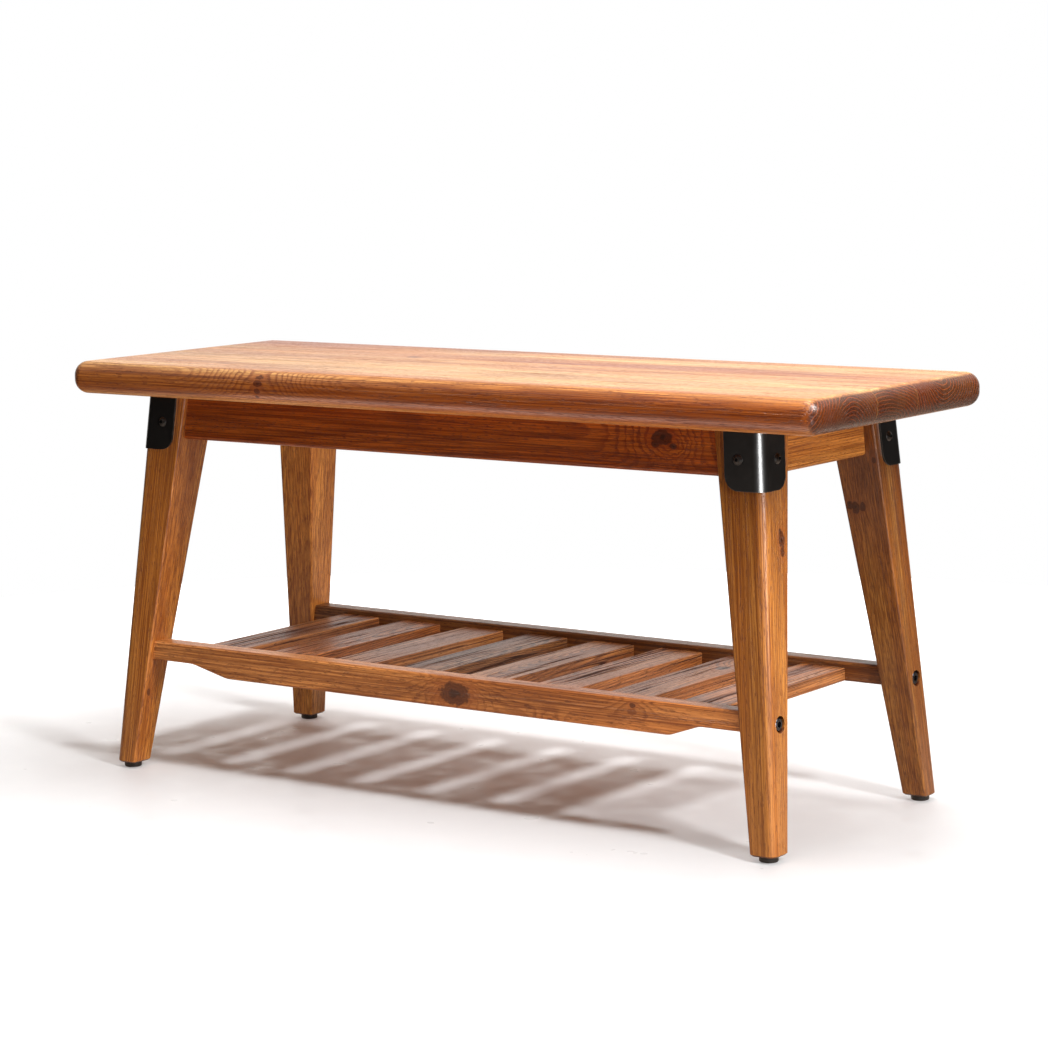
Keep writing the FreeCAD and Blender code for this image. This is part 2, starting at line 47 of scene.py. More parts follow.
class Net:
    """Adds and links shader nodes in one node tree."""

    def __init__(self, tree):
        self.tree = tree
        tree.nodes.clear()

    def node(self, kind, **props):
        made = self.tree.nodes.new(kind)
        for key, value in props.items():
            setattr(made, key, value)
        return made

    def put(self, socket, value):
        """Links value to the socket if it is a socket too, or else sets it there."""
        if isinstance(value, bpy.types.NodeSocket):
            self.tree.links.new(value, socket)
        elif value is not None:
            socket.default_value = value

    def math(self, op, a, b=None, c=None, clamp=False):
        made = self.node("ShaderNodeMath", operation=op, use_clamp=clamp)
        for socket, value in zip(made.inputs, (a, b, c)):
            self.put(socket, value)
        return made.outputs[0]

    def most(self, values):
        """The largest of the values."""
        largest = values[0]
        for value in values[1:]:
            largest = self.math("MAXIMUM", largest, value)
        return largest

    def off_middle(self, value):
        """A noise value less its mean."""
        return self.math("SUBTRACT", value, 0.5)

    def vector(self, op, a, b=None):
        made = self.node("ShaderNodeVectorMath", operation=op)
        self.put(made.inputs[0], a)
        self.put(made.inputs[1], b)
        return made.outputs["Value" if op in ("LENGTH", "DOT_PRODUCT") else "Vector"]

    def split(self, vector):
        made = self.node("ShaderNodeSeparateXYZ")
        self.put(made.inputs[0], vector)
        return list(made.outputs)

    def join(self, *parts):
        made = self.node("ShaderNodeCombineXYZ")
        for socket, value in zip(made.inputs, parts):
            self.put(socket, value)
        return made.outputs[0]

    def noise(self, at, stretch, detail=2.0, rough=0.5, shift=0.0):
        """Noise of the point at, with stretch cells a metre along each axis."""
        made = self.node("ShaderNodeTexNoise")
        moved = self.node("ShaderNodeMapping")
        self.put(moved.inputs["Vector"], at)
        moved.inputs["Scale"].default_value = stretch
        moved.inputs["Location"].default_value = (shift, shift * 1.7, shift * 0.6)
        self.put(made.inputs["Vector"], moved.outputs[0])
        made.inputs["Scale"].default_value = 1.0
        made.inputs["Detail"].default_value = detail
        made.inputs["Roughness"].default_value = rough
        return made.outputs["Fac"]

    def step(self, value, lo, hi, to_lo=0.0, to_hi=1.0):
        """Smooth step of value from lo to hi, onto to_lo to to_hi."""
        made = self.node("ShaderNodeMapRange", interpolation_type="SMOOTHSTEP")
        self.put(made.inputs["Value"], value)
        for name, number in (("From Min", lo), ("From Max", hi), ("To Min", to_lo), ("To Max", to_hi)):
            self.put(made.inputs[name], number)
        return made.outputs["Result"]

    def mix(self, a, b, share, blend="MIX"):
        made = self.node("ShaderNodeMix", data_type="RGBA", blend_type=blend)
        self.put(made.inputs["Factor"], share)
        colours = [s for s in made.inputs if s.type == "RGBA"]
        for socket, value in zip(colours, (a, b)):
            if isinstance(value, tuple) and len(value) == 3:
                value = (*value, 1.0)
            self.put(socket, value)
        return [s for s in made.outputs if s.type == "RGBA"][0]

    def edges(self, radius):
        """1 on sharp or small-radius edges, 0 on open faces."""
        bevel = self.node("ShaderNodeBevel", samples=4)
        bevel.inputs["Radius"].default_value = radius
        plain = self.node("ShaderNodeNewGeometry")
        agree = self.vector("DOT_PRODUCT", bevel.outputs[0], plain.outputs["Normal"])
        return self.step(agree, 0.995, 0.86)

    def bump(self, height, distance, strength=1.0, normal=None):
        made = self.node("ShaderNodeBump")
        made.inputs["Strength"].default_value = strength
        made.inputs["Distance"].default_value = distance
        self.put(made.inputs["Height"], height)
        self.put(made.inputs["Normal"], normal)
        return made.outputs[0]


def material(name):
    """A new material with its node net and its Principled shader."""
    made = bpy.data.materials.new(name)
    made.use_nodes = True
    net = Net(made.node_tree)
    shader = net.node("ShaderNodeBsdfPrincipled")
    out = net.node("ShaderNodeOutputMaterial")
    net.tree.links.new(shader.outputs[0], out.inputs["Surface"])
    return made, net, shader


# ---------------------------------------------------------------- wood

TONES = {
    # (early wood, middle, late wood, dark streak), linear albedo
    "seat": ((0.72, 0.400, 0.140), (0.54, 0.215, 0.048), (0.36, 0.100, 0.024), (0.12, 0.022, 0.006)),
    "leg": ((0.58, 0.245, 0.052), (0.46, 0.160, 0.028), (0.31, 0.086, 0.015), (0.11, 0.025, 0.006)),
    "apron": ((0.72, 0.210, 0.030), (0.58, 0.136, 0.019), (0.37, 0.068, 0.011), (0.10, 0.018, 0.005)),
    "rail": ((0.60, 0.250, 0.070), (0.48, 0.165, 0.038), (0.30, 0.080, 0.017), (0.09, 0.020, 0.005)),
    "slat": ((0.52, 0.225, 0.072), (0.38, 0.130, 0.034), (0.22, 0.060, 0.016), (0.045, 0.012, 0.005)),
}
# For each axis that the grain may run along, the frame's axes along the grain and across it
ORDER = {"x": (0, 1, 2), "y": (1, 2, 0), "z": (2, 0, 1)}
# Noise of the point in the member's own directions:
# cells a metre along the grain and the two ways across it, detail, roughness, shift
GRAIN_FIELDS = {
    "slow": ((1.6, 8.0, 8.0), 1.0, 0.50, 0.0),
    "quick": ((8.0, 60.0, 60.0), 2.0, 0.55, 3.1),
    "uneven": ((0.7, 22.0, 22.0), 1.0, 0.50, 7.7),
    "strong": ((1.3, 30.0, 30.0), 2.0, 0.60, 11.0),
    "fibre": ((6.0, 640.0, 640.0), 3.0, 0.70, 1.0),
    "fleck": ((120.0, 900.0, 900.0), 2.0, 0.60, 2.0),
    "drift": ((1.0, 24.0, 24.0), 2.0, 0.50, 5.0),
    "vein": ((3.0, 230.0, 230.0), 2.0, 0.60, 15.0),
    "dirt": ((2.2, 150.0, 150.0), 3.0, 0.60, 9.0),
    "crack": ((6.0, 380.0, 380.0), 2.0, 0.50, 13.0),
    "split": ((2.0, 95.0, 95.0), 2.0, 0.60, 33.0),
    "patch": ((2.6, 15.0, 15.0), 2.0, 0.50, 26.0),
}
# Noise of the plain frame point, the same all ways: cells a metre, detail, roughness, shift
SPOT_FIELDS = {
    "ragged": (190.0, 2.0, 0.60, 17.0),
    "speck": (1300.0, 2.0, 0.60, 40.0),
    "blot": (14.0, 2.0, 0.50, 21.0),
    "waves": (22.0, 2.0, 0.45, 30.0),
}
RING_JITTER = 2.4          # how far the quick noise moves a ring, in mm
RING_UNEVEN = 1.6          # how many rings the uneven growth adds at most
LINES_PER_RING = 2.0       # thin lines to a ring on the long faces
KNOT_SQUEEZE = 0.66        # a knot's size across the grain over its size along it
KNOT_LINE = 0.24           # width of a knot's own rings, over its radius
EDGE_WEAR_AND_SHEEN_WIDTH = 2.2          # how far from an edge the varnish is rubbed and painted paler for wear and sheen, in mm
GRAIN_DEPTH = 0.20         # height of the fibres, pores and splits, in mm
WAVE_DEPTH = 0.9           # height of the slow waves in the surface, in mm
# What multiplies the wood's own colour
FIBRE_DARK = (0.48, 0.36, 0.28)
FIBRE_PALE = (1.30, 1.38, 1.55)
PATCH_DARK = (0.62, 0.54, 0.50)
END_DEEP = (0.13, 0.06, 0.03)
END_PALE = (1.05, 0.80, 0.60)
END_PATCH = (0.6, 0.5, 0.45)


class Grain:
    """The own directions of a member whose grain runs along axis, and its noise fields."""

    def __init__(self, net, axis, lean, seed):
        self.net = net
        self.axis = axis
        self.seed = seed
        self.fields = {}
        self.spot = net.node("ShaderNodeTexCoord").outputs["Object"]
        self.along, *across = self.turned(self.spot)
        if lean != (0.0, 0.0):
            across = [net.math("MULTIPLY_ADD", self.along, -slant * MM, value)
                      for slant, value in zip(lean, across)]
        self.across = across
        self.point = net.join(self.along, *across)

    def turned(self, vector):
        """The vector's parts along the grain and the two ways across it."""
        parts = self.net.split(vector)
        return [parts[i] for i in ORDER[self.axis]]

    def field(self, name):
        """A noise field by its name, made once."""
        if name not in self.fields:
            if name in GRAIN_FIELDS:
                stretch, detail, rough, shift = GRAIN_FIELDS[name]
                at = self.point
            else:
                cells, detail, rough, shift = SPOT_FIELDS[name]
                stretch = (cells,) * 3
                at = self.spot
            self.fields[name] = self.net.noise(at, stretch, detail, rough, self.seed + shift)
        return self.fields[name]


def pith_distance(net, grain, pith, slope, wave):
    """Distance from the pith line, which wanders by wave mm."""
    squares = []
    for value, place, slant in zip(grain.across, pith, slope):
        moved = net.math("MULTIPLY_ADD", grain.along, -slant * MM, value)
        side = net.math("SUBTRACT", moved, place * MM)
        squares.append(net.math("MULTIPLY", side, side))
    radius = net.math("SQRT", net.math("ADD", *squares))
    radius = net.math("MULTIPLY_ADD", net.off_middle(grain.field("slow")), 2 * wave * MM, radius)
    return net.math("MULTIPLY_ADD", net.off_middle(grain.field("quick")), RING_JITTER * MM, radius)


def knot_marks(net, grain, knots, radius):
    """The radius pushed aside by the knots, and how much each point is in a knot's reach, in its
    halo, inside it and on its dark lines."""
    reaches, halos, insides, darks = [], [], [], []
    for point, size, swirl, reach in knots:
        size *= MM
        away = net.vector("SUBTRACT", grain.spot, scaled(point, MM))
        along, *across = grain.turned(away)
        far = net.vector("LENGTH", net.join(net.math("MULTIPLY", along, KNOT_SQUEEZE), *across))
        ragged = net.math("MULTIPLY", net.off_middle(grain.field("ragged")), 0.9 * size)
        lumpy = net.math("MULTIPLY", net.off_middle(grain.field("quick")), 0.5 * size)
        far = net.math("ADD", far, net.math("ADD", ragged, lumpy))

        square = net.math("POWER", net.math("DIVIDE", far, reach * MM), 2.0)
        push = net.math("EXPONENT", net.math("MULTIPLY", square, -1.0))
        radius = net.math("MULTIPLY_ADD", push, swirl * MM, radius)
        inside = net.step(far, 1.10 * size, 0.75 * size)

        lines = net.math("SINE", net.math("MULTIPLY", far, 2 * math.pi / (KNOT_LINE * size)))
        lines = net.math("MULTIPLY", net.math("MULTIPLY_ADD", lines, 0.25, 0.25), inside)
        heart = net.step(far, 0.48 * size, 0.12 * size)
        rim = net.math("SUBTRACT", inside, net.step(far, 0.92 * size, 0.62 * size))

        reaches.append(push)
        halos.append(net.step(far, 2.4 * size, 0.9 * size))
        insides.append(inside)
        darks.append(net.most([lines, heart, net.math("MULTIPLY", rim, 0.8)]))
    return (radius, *(net.most(marks) for marks in (reaches, halos, insides, darks)))


def end_grain(net, grain, turn, late, streak):
    """End grain drinks the stain: dark, with thin pale rings and scattered pores."""
    pale_ring = net.math("MULTIPLY", net.step(turn, 0.0, 0.06), net.step(turn, 0.30, 0.12))
    pale_ring = net.math("MULTIPLY", pale_ring, net.step(grain.field("strong"), 0.2, 0.6, 0.70, 1.0))
    colour = net.mix(scaled(late, END_DEEP), scaled(late, END_PALE), net.math("MULTIPLY", pale_ring, 0.65))
    colour = net.mix(colour, streak, net.step(grain.field("speck"), 0.50, 0.68, 0.0, 0.55))
    return net.mix(colour, END_PATCH, net.step(grain.field("patch"), 0.42, 0.70, 0.0, 0.8), "MULTIPLY")


def wood(name, tone, axis, pith, slope=(0.0, 0.0), ring=4.6, knots=(), seed=0.0, gloss=0.34, wave=9.0,
         shade=1.0, lines=0.45, open_grain=0.3, bands=0.6, lean=(0.0, 0.0), side_painted_shade=None):
    """A varnished wood cut from one log, with rings round a pith line that runs along axis.

    pith is where that line crosses the frame's middle, and slope how far it moves per metre, both
    across the grain, in mm. ring is the width of a ring in mm, and wave how far the rings wander.
    knots are (point, radius, swirl, reach), all in mm. lines is how much the rings show, open_grain
    how open the pores are, bands how much the colour drifts, lean how far the fibres run out of
    axis in mm a metre, and side_painted_shade painted shade that darkens the +Y and -Y sides below the top.
    gloss is the varnish's roughness, and shade multiplies every colour: on some members it is painted
    light or shade for how much light they stand in, on others a darker or paler wood."""
    made, net, shader = material(name)
    early, middle, late, streak = (scaled(colour, shade) for colour in TONES[tone])
    line_tone = tuple(0.55 * a + 0.45 * b for a, b in zip(late, streak))
    grain = Grain(net, axis, lean, seed)
    radius = pith_distance(net, grain, pith, slope, wave)
    shown = lines
    if knots:
        radius, near, halo, core, eye = knot_marks(net, grain, knots, radius)
        shown = net.math("MULTIPLY_ADD", near, 0.38, lines, clamp=True)
    phase = net.math("DIVIDE", radius, ring * MM)
    phase = net.math("MULTIPLY_ADD", grain.field("uneven"), RING_UNEVEN, phase)
    turn = net.math("FRACT", phase)
    strong = grain.field("strong")
    fibre = grain.field("fibre")

    # Rings: pale early wood, and a thin late line that comes and goes
    thin = net.math("FRACT", net.math("MULTIPLY", phase, LINES_PER_RING))
    late_line = net.math("MULTIPLY", net.step(thin, 0.40, 0.80), net.step(thin, 1.0, 0.90))
    late_line = net.math("MULTIPLY", late_line, net.step(strong, 0.25, 0.65, 0.35, 1.0))
    drift = grain.field("drift")
    colour = net.mix(middle, early, net.step(drift, 0.46, 0.60, 0.0, bands))
    colour = net.mix(colour, late, net.step(drift, 0.44, 0.32, 0.0, bands))
    colour = net.mix(colour, line_tone, net.math("MULTIPLY", late_line, shown, clamp=True))

    # Fibres, short pores and mineral streaks along the grain
    colour = net.mix(colour, FIBRE_DARK, net.step(fibre, 0.45, 0.62, 0.0, 0.85), "MULTIPLY")
    colour = net.mix(colour, FIBRE_PALE, net.step(fibre, 0.50, 0.34, 0.0, 0.8), "MULTIPLY")
    vein = net.step(net.math("ABSOLUTE", net.off_middle(grain.field("vein"))), 0.030, 0.004)
    colour = net.mix(colour, line_tone, net.math("MULTIPLY", vein, net.step(strong, 0.30, 0.70, 0.2, 0.75)))
    pore = net.step(grain.field("fleck"), 0.54, 0.63)
    pore = net.math("MULTIPLY", pore, net.step(turn, 0.1, 0.7, 0.5, 1.0))
    colour = net.mix(colour, streak, net.math("MULTIPLY", pore, 0.60))
    dirt = grain.field("dirt")
    colour = net.mix(colour, streak, net.step(dirt, 0.60, 0.78, 0.0, 0.55))

    # Splits, short ones and long ones, in open grain
    crack = net.step(grain.field("crack"), 0.70 - 0.08 * open_grain, 0.74)
    off_split = net.math("ABSOLUTE", net.off_middle(grain.field("split")))
    long_split = net.step(off_split, 0.026 * open_grain, 0.006)
    crack = net.math("MAXIMUM", crack, net.math("MULTIPLY", long_split, net.step(strong, 0.40, 0.52)))
    colour = net.mix(colour, streak, net.math("MULTIPLY", crack, min(1.0, 1.6 * open_grain)))
    colour = net.mix(colour, PATCH_DARK, net.step(grain.field("patch"), 0.50, 0.72, 0.0, 0.7), "MULTIPLY")

    facing = net.node("ShaderNodeNewGeometry").outputs["Normal"]
    # Painted shade: the +Y and -Y sides are darkened below the top, as they catch less light
    if side_painted_shade:
        side = net.math("ABSOLUTE", net.vector("DOT_PRODUCT", facing, (0.0, 1.0, 0.0)))
        colour = net.mix(colour, side_painted_shade, net.step(side, 0.45, 0.95), "MULTIPLY")
    if knots:
        colour = net.mix(colour, late, net.math("MULTIPLY", halo, 0.55))
        colour = net.mix(colour, scaled(streak, 0.8), net.math("MULTIPLY", core, 0.80))
        colour = net.mix(colour, scaled(streak, 0.30), net.math("MULTIPLY", eye, 0.85))

    cut = net.vector("DOT_PRODUCT", facing, tuple(float(letter == axis) for letter in "xyz"))
    end = net.step(net.math("ABSOLUTE", cut), 0.30, 0.62)
    colour = net.mix(colour, end_grain(net, grain, turn, late, streak), net.math("MULTIPLY", end, 0.93))
    edge_wear_and_sheen = net.math("MULTIPLY", net.edges(EDGE_WEAR_AND_SHEEN_WIDTH * MM), net.step(dirt, 0.35, 0.62, 0.15, 0.75))
    # Edges painted paler: partly wear, partly a painted sheen where the rounded edges catch light
    colour = net.mix(colour, scaled(early, 1.1), net.math("MULTIPLY", edge_wear_and_sheen, 0.4))
    net.put(shader.inputs["Base Color"], colour)

    # Varnish: less gloss over pores, splits and rubbed edges, a little more on end grain
    rough = net.math("MULTIPLY_ADD", fibre, 0.16, gloss - 0.08)
    rough = net.math("MULTIPLY_ADD", pore, 0.15, rough)
    rough = net.math("MULTIPLY_ADD", crack, 0.7 * open_grain, rough)
    rough = net.math("MULTIPLY_ADD", edge_wear_and_sheen, 0.10, rough)
    rough = net.math("MULTIPLY_ADD", end, -0.06, rough)
    rough = net.math("MULTIPLY_ADD", net.off_middle(grain.field("blot")), 0.10, rough)
    net.put(shader.inputs["Roughness"], rough)
    shader.inputs["IOR"].default_value = 1.5

    height = net.math("MULTIPLY_ADD", turn, 0.15, net.math("MULTIPLY", fibre, 0.6))
    height = net.math("MULTIPLY_ADD", pore, -0.6, height)
    height = net.math("MULTIPLY_ADD", crack, -2.4 * open_grain, height)
    if knots:
        height = net.math("MULTIPLY_ADD", eye, -0.8, height)
    fine = net.bump(height, GRAIN_DEPTH * MM)
    net.put(shader.inputs["Normal"], net.bump(grain.field("waves"), WAVE_DEPTH * MM, 0.35, fine))
    return made


# ---------------------------------------------------------------- metal and plastic

# Painted shade for sockets and hollows
SOCKET_PAINTED_SHADE = (0.004, 0.004, 0.005)
SOCKET_REACH = 3.0         # how far the painted shade in a socket looks for its walls, in mm


def coated(name, colour, rough, grain_size, depth, metallic=0.0, edge_wear_and_highlight_colour=None, edge_share=0.35,
           painted_hollow_shade=False, edge_radius=0.8):
    """Powder coat, blackened or plated steel, or moulded plastic: fine skin, blotches, paler edges.

    grain_size and depth are those of the skin and edge_radius that of the paler edges, in mm.
    The paler edges are partly wear and partly a painted highlight, a bright ring round the black bolts' rims.
    pocket paints shade into the sockets and other hollows."""
    made, net, shader = material(name)
    spot = net.node("ShaderNodeTexCoord").outputs["Object"]
    cells = 1.0 / (grain_size * MM)
    skin = net.noise(spot, (cells,) * 3, 2.0, 0.5, 0.3)
    blot = net.noise(spot, (38.0,) * 3, 3.0, 0.55, 4.0)
    marks = net.noise(spot, (160.0, 420.0, 160.0), 3.0, 0.6, 8.0)
    tint = net.mix(scaled(colour, 0.72), scaled(colour, 1.35), blot)
    worn = tuple(c * 1.6 + 0.001 for c in colour)
    tint = net.mix(tint, worn, net.step(marks, 0.56, 0.72, 0.0, 0.5))
    edge_wear_and_sheen = net.math("MULTIPLY", net.edges(edge_radius * MM), net.step(marks, 0.3, 0.6, 0.2, 1.0))
    # Edges painted paler: partly wear, partly a painted highlight
    tint = net.mix(tint, edge_wear_and_highlight_colour or scaled(colour, 2.0), net.math("MULTIPLY", edge_wear_and_sheen, edge_share))
    if painted_hollow_shade:
        # Painted shade: an occlusion mask darkens the sockets and other hollows
        hollow = net.node("ShaderNodeAmbientOcclusion", samples=8, only_local=True)
        hollow.inputs["Distance"].default_value = SOCKET_REACH * MM
        tint = net.mix(tint, SOCKET_PAINTED_SHADE, net.step(hollow.outputs["AO"], 0.90, 0.60))
    net.put(shader.inputs["Base Color"], tint)
    shader.inputs["Metallic"].default_value = metallic
    level = net.math("MULTIPLY_ADD", net.off_middle(blot), 0.12, rough)
    level = net.math("MULTIPLY_ADD", net.off_middle(marks), 0.06, level)
    net.put(shader.inputs["Roughness"], level)
    net.put(shader.inputs["Normal"], net.bump(skin, depth * MM))
    return made


powder = coated("powder_coat", (0.0018, 0.0014, 0.0012), 0.31, 0.9, 0.025,
                edge_wear_and_highlight_colour=(0.07, 0.06, 0.05), edge_share=0.5)
# The black bolts' pale edge colour is a painted highlight round their rims
oxide = coated("black_bolt", (0.006, 0.005, 0.005), 0.40, 0.5, 0.03,
               edge_wear_and_highlight_colour=(0.20, 0.19, 0.18), edge_share=1.0, painted_hollow_shade=True, edge_radius=0.45)
steel = coated("blued_steel", (0.045, 0.048, 0.060), 0.26, 0.4, 0.04, metallic=1.0,
               edge_wear_and_highlight_colour=(0.16, 0.16, 0.17), painted_hollow_shade=True)
zinc = coated("zinc_plate", (0.50, 0.50, 0.49), 0.36, 0.6, 0.05, metallic=1.0,
              edge_wear_and_highlight_colour=(0.62, 0.62, 0.60), painted_hollow_shade=True)
brass = coated("brass", (0.56, 0.37, 0.13), 0.34, 0.5, 0.05, metallic=1.0,
               edge_wear_and_highlight_colour=(0.70, 0.52, 0.24))
plastic = coated("glide_plastic", (0.014, 0.013, 0.013), 0.48, 0.7, 0.08,
                 edge_wear_and_highlight_colour=(0.04, 0.04, 0.04))


# ---------------------------------------------------------------- one wood for each member


def centre(node):
    """The middle of a node's box, in mm."""
    lo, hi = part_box(node)
    return [(a + b) / 2 / MM for a, b in zip(lo, hi)]


LEG_LEAN = 90.0            # mm a metre of height
# Painted shade on the seat boards' front and back sides, darker than their tops
SIDE_PAINTED_SHADE = (0.58, 0.36, 0.23)


def leg_lean(sx, sy):
    """The way the leg at side sx, sy runs out from under the seat, in mm a metre of height."""
    return (-LEG_LEAN * sx, -LEG_LEAN * sy)


WOODS = {
    "seat_board_front": dict(tone="seat", axis="x", pith=(-108, 398), slope=(8, 10), ring=3.6, seed=1.0,
                             knots=(((-200, -175, 445), 4.5, -22, 44), ((-201, -176, 437), 3.8, 0, 9),
                                    ((-202, -176, 429), 3, 0, 8), ((-203, -174, 422), 2, 0, 6)),
                             gloss=0.32, wave=10, bands=0.9, side_painted_shade=SIDE_PAINTED_SHADE),
    "seat_board_middle": dict(tone="seat", axis="x", pith=(-30, 330), slope=(-10, 20), ring=3.6, seed=7.0,
                              shade=0.95, gloss=0.32, wave=7, bands=1.0, side_painted_shade=SIDE_PAINTED_SHADE),
    "seat_board_back": dict(tone="seat", axis="x", pith=(93, 460), slope=(-12, 8), ring=4.4, seed=13.0,
                            knots=(((-159, 45, 450), 6, 14, 30),), gloss=0.32, wave=8, bands=1.0,
                            side_painted_shade=SIDE_PAINTED_SHADE),
    "seat_buttons": dict(tone="leg", axis="x", pith=(0, 340), seed=97.0),
    "apron_front": dict(tone="apron", axis="x", pith=(-60, 392), slope=(6, 30), ring=4.4, seed=19.0,
                        knots=(((274, -132, 401), 7.5, 15, 30), ((266, -132, 394), 3.5, 0, 9),
                               ((287, -132, 393), 3, 5, 12)), gloss=0.30, wave=9, lines=0.6),
    "apron_back": dict(tone="apron", axis="x", pith=(75, 380), slope=(6, -14), ring=4.6, seed=23.0, wave=9),
    "apron_left": dict(tone="apron", axis="y", pith=(400, -330), slope=(20, 6), ring=4.6, seed=29.0),
    # shade 1.1 is painted light, in place of the light the seat keeps off this side apron
    "apron_right": dict(tone="leg", axis="y", pith=(330, 330), slope=(20, 6), ring=4.2, seed=31.0, shade=1.1),
    "rail_front": dict(tone="rail", axis="x", pith=(-60, 104), slope=(4, 12), ring=3.6, seed=37.0,
                       knots=(((33.5, -153, 126), 12, -10, 26), ((151.5, -153, 110), 2.5, 5, 12),
                              ((251, -153, 136), 2.5, -5, 14)), gloss=0.34, wave=6, lines=0.5),
    # shade 0.50 is painted shade, for the shade of the seat and slats on the back rail
    "rail_back": dict(tone="rail", axis="x", pith=(60, 160), slope=(4, -10), ring=4.4, seed=41.0, shade=0.50),
    "leg_front_left": dict(tone="leg", axis="z", pith=(-300, -230), slope=(30, 20), ring=4.2, seed=43.0,
                           knots=(((-384, -156, 86), 3, 4, 10),), lines=0.5, lean=leg_lean(-1, -1)),
    "leg_front_right": dict(tone="leg", axis="z", pith=(330, -10), slope=(0, 0), ring=4.0, seed=47.0,
                            knots=(((398, -112, 306), 5.5, 9, 19), ((397, -112, 295), 4, 0, 10),
                                   ((396, -114, 314), 2.4, 0, 7)),
                            shade=0.87, wave=5, lean=leg_lean(1, -1)),
    # shade 1.12 is painted light on the back left leg
    "leg_back_left": dict(tone="leg", axis="z", pith=(-400, 260), slope=(0, 20), ring=4.2, seed=53.0,
                          shade=1.12, lines=0.5, lean=leg_lean(-1, 1)),
    # shade 0.55 is partly painted shade and partly darker wood
    "leg_back_right": dict(tone="leg", axis="z", pith=(300, 190), slope=(20, -20), ring=4.2, seed=59.0,
                           knots=(((356, 97, 313), 3.4, 0, 9), ((363, 97, 311), 4.6, 9, 17),
                                  ((371, 97, 312), 3.4, 0, 9), ((361, 96, 303), 2.8, 0, 8),
                                  ((387, 89.5, 362), 2.5, 3, 6)),
                           shade=0.55, bands=0.9, lean=leg_lean(1, 1)),
}
SLAT_LOOKS = (
    # pith across and height in mm, slope across and up, shade
    ((0, 60), (0, 10), 1.0),
    ((14, 96), (6, 60), 1.3),
    ((-40, 60), (12, 4), 1.0),
    ((10, 100), (20, -90), 0.65),
    ((0, 118), (4, 110), 1.05),
    ((-20, 84), (24, 70), 1.25),
    ((26, 90), (-8, 12), 1.0),
    ((-12, 70), (8, 8), 0.95),
)
SLAT_WITH_KNOT = 7
for number, (pith, slope, shade) in enumerate(SLAT_LOOKS, 1):
    middle_x = centre(f"slat_{number}")[0]
    knots = ()
    if number == SLAT_WITH_KNOT:
        knots = (((middle_x + 6, 62, 136.5), 7, 9, 20),)
    WOODS[f"slat_{number}"] = dict(tone="slat", axis="y", pith=(pith[1], middle_x + pith[0]),
                                   slope=(slope[1], slope[0]), ring=4.4, seed=61.0 + 6 * number, knots=knots,
                                   shade=shade, gloss=0.36, open_grain=1.0, wave=7, lines=1.0)

# Looks by how a node's name starts, of which the first that fits counts
OTHER_LOOKS = (
    ("seat_button_screws", zinc), ("rail_bolts", steel), ("rail_barrel_nuts", zinc),
    ("bracket_bolts", oxide), ("bracket_inserts", brass), ("glide_nails", zinc),
    ("bracket", powder), ("foot_glide", plastic),
)
for node, thing in nodes.items():
    if node in WOODS:
        look = wood(node + "_wood", **WOODS[node])
    else:
        look = next(coat for start, coat in OTHER_LOOKS if node.startswith(start))
    thing.data.materials.clear()
    thing.data.materials.append(look)

# ---------------------------------------------------------------- stage

FLOOR_RADIUS = 1.5
FLOOR_SIDES = 96
MIRROR_RADIUS = 0.8
MIRROR_Z = -0.2 * MM
BOUNCE_Z = -0.5 * MM
GLOW_STARTS, GLOW_FULL = 0.55, 1.25   # distances from the middle of the floor
RIM_GLOW = 0.9


def disc(name, z, radius=FLOOR_RADIUS):
    rim = []
    for i in range(FLOOR_SIDES):
        turn = 2 * math.pi * i / FLOOR_SIDES
        rim.append((radius * math.cos(turn), radius * math.sin(turn), z))
    mesh = bpy.data.meshes.new(name)
    mesh.from_pydata(rim, [], [tuple(range(FLOOR_SIDES))])
    thing = bpy.data.objects.new(name, mesh)
    scene.collection.objects.link(thing)
    return thing


def paper(name, dark, light, glow=0.0):
    """Matt paper, which glows a little away from the bench so that its rim melts into the backdrop."""
    made, net, shader = material(name)
    spot = net.node("ShaderNodeTexCoord").outputs["Object"]
    net.put(shader.inputs["Base Color"], net.mix(dark, light, net.noise(spot, (6.0, 6.0, 6.0), 3.0)))
    net.put(shader.inputs["Roughness"], net.noise(spot, (30.0, 30.0, 30.0), 2.0, 0.5, 2.0))
    shader.inputs["Specular IOR Level"].default_value = 0.1
    if glow:
        shader.inputs["Emission Color"].default_value = (*WHITE, 1.0)
        away = net.vector("LENGTH", spot)
        net.put(shader.inputs["Emission Strength"], net.step(away, GLOW_STARTS, GLOW_FULL, 0.0, glow))
    return made


# The floor as it is seen, a smaller one that mirrors in the bench, and a darker one that lights the bench
floor = disc("floor", 0.0)
floor.data.materials.append(paper("floor_paper", (0.885, 0.910, 0.930), (0.895, 0.920, 0.940), RIM_GLOW))
floor.visible_diffuse = False
floor.visible_glossy = False
floor.visible_transmission = False
floor.visible_shadow = False
mirror = disc("floor_mirror", MIRROR_Z, MIRROR_RADIUS)
mirror.data.materials.append(paper("floor_mirror_paper", (0.86, 0.70, 0.58), (0.90, 0.74, 0.62)))
mirror.visible_camera = False
mirror.visible_diffuse = False
mirror.visible_transmission = False
mirror.visible_shadow = False
bounce = disc("floor_bounce", BOUNCE_Z)
bounce.data.materials.append(paper("floor_bounce_paper", (0.31, 0.23, 0.18), (0.35, 0.26, 0.20)))
bounce.visible_camera = False

# ---------------------------------------------------------------- light

TARGET = Vector((0.0, 0.0, 0.22))
SHELF_LEVEL = Vector((0.0, 0.0, 0.13))
METAL_LEVEL = Vector((0.0, 0.0, 0.16))
STRIP_WAY = (0.80, -0.60, 0.0)


def group(name, things):
    """A collection of things, for light linking only."""
    made = bpy.data.collections.new(name)
    for thing in things:
        made.objects.link(thing)
    return made


